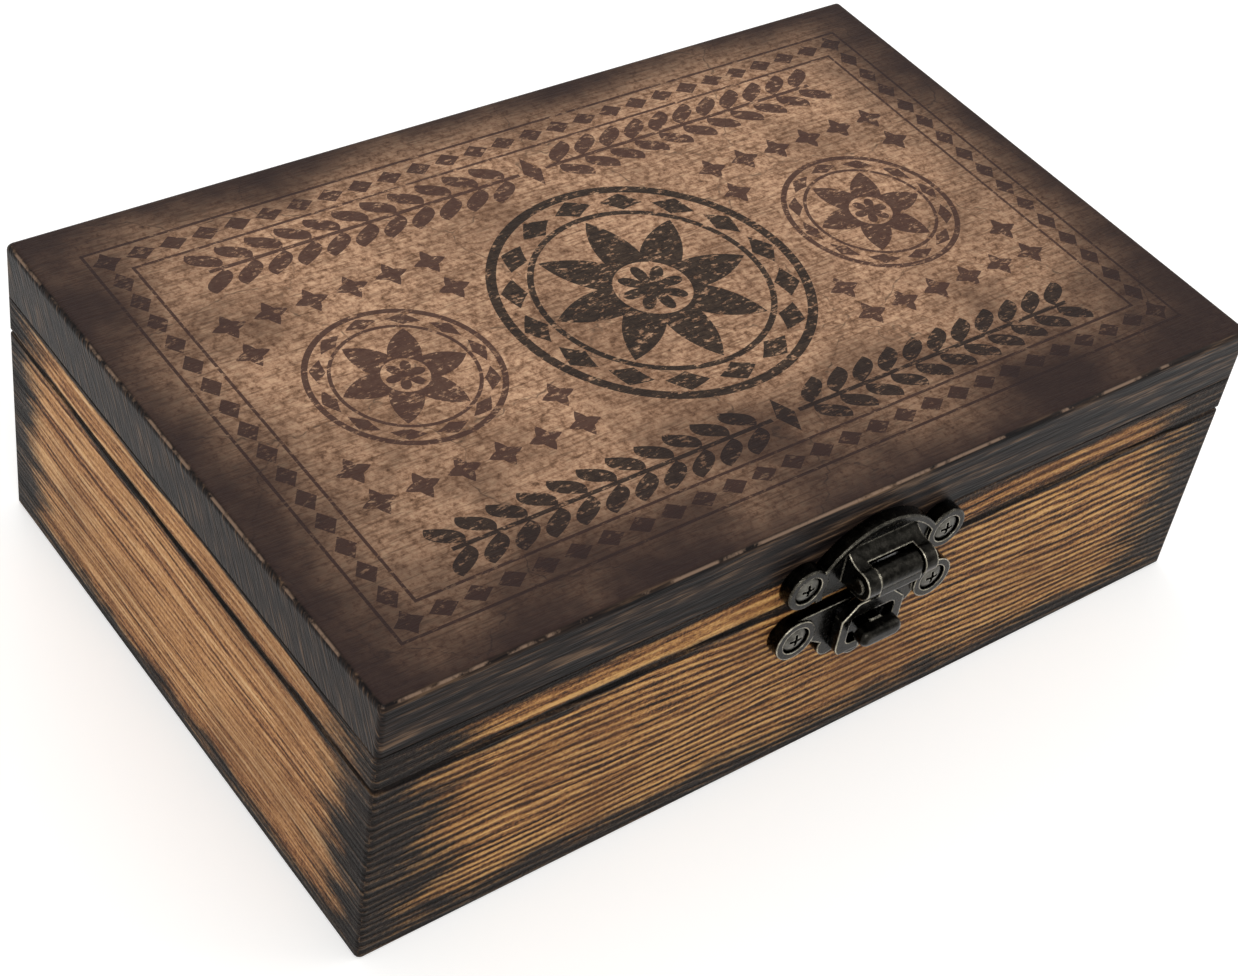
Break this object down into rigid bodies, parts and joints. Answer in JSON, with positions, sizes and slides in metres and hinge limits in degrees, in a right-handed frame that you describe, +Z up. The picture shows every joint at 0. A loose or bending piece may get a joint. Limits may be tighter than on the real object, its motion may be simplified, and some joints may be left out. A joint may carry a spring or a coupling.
{
  "type": "keepsake box",
  "caption": "Burnt-finish wooden keepsake box with a printed hinged lid and an antique bronze hasp latch with a turn button.",
  "frame": {"origin": "centre of the underside of the base", "axes": "+X along the front towards the right, +Y from the latch towards the hinges, +Z up"},
  "size_m": [0.18, 0.1287, 0.0585],
  "materials": {
    "burnt_pine": "torch-burnt and wire-brushed pine, thin satin varnish",
    "printed_board": "matt printed face, burnt and waxed edges",
    "plywood": "bare sanded plywood",
    "antique_casting": "cast zinc alloy with a dark antique bronze plating, rubbed bright on its edges",
    "latch_screws": "darkened nickel-plated steel",
    "antique_brass": "stamped steel with an antique brass plating",
    "hinge_screws": "antique brass plated steel"
  },
  "bodies": {
    "base": {"base_front_wall": "burnt_pine", "base_right_wall": "burnt_pine", "base_back_wall": "burnt_pine", "base_left_wall": "burnt_pine", "base_bottom_panel": "plywood", "latch_lower_plate": "antique_casting", "latch_lower_screws": "latch_screws", "hinge_base_screws": "hinge_screws", "hinge_left_base_leaf": "antique_brass", "hinge_left_pin": "antique_brass", "hinge_right_base_leaf": "antique_brass", "hinge_right_pin": "antique_brass"},
    "lid": {"lid_front_rail": "burnt_pine", "lid_right_rail": "burnt_pine", "lid_back_rail": "burnt_pine", "lid_left_rail": "burnt_pine", "lid_top_board": "printed_board", "latch_upper_plate": "antique_casting", "latch_upper_screws": "latch_screws", "latch_hasp_pin": "antique_casting", "hinge_lid_screws": "hinge_screws", "hinge_left_lid_leaf": "antique_brass", "hinge_right_lid_leaf": "antique_brass"},
    "hasp": {"latch_hasp": "antique_casting"},
    "turn_button": {"latch_turn_button": "antique_casting"}
  },
  "joints": [
    {"name": "lid_hinge", "type": "hinge", "parent": "base", "child": "lid", "pos_m": [0, 0.0602, 0.04], "axis": [-1, 0, 0], "range_deg": [0, 110]},
    {"name": "hasp_swing", "type": "hinge", "parent": "lid", "child": "hasp", "pos_m": [0.0034, -0.064, 0.0456], "axis": [-1, 0, 0], "range_deg": [0, 150]},
    {"name": "button_turn", "type": "hinge", "parent": "base", "child": "turn_button", "pos_m": [0.0034, -0.058, 0.0318], "axis": [0, -1, 0], "range_deg": [0, 90]}
  ]
}
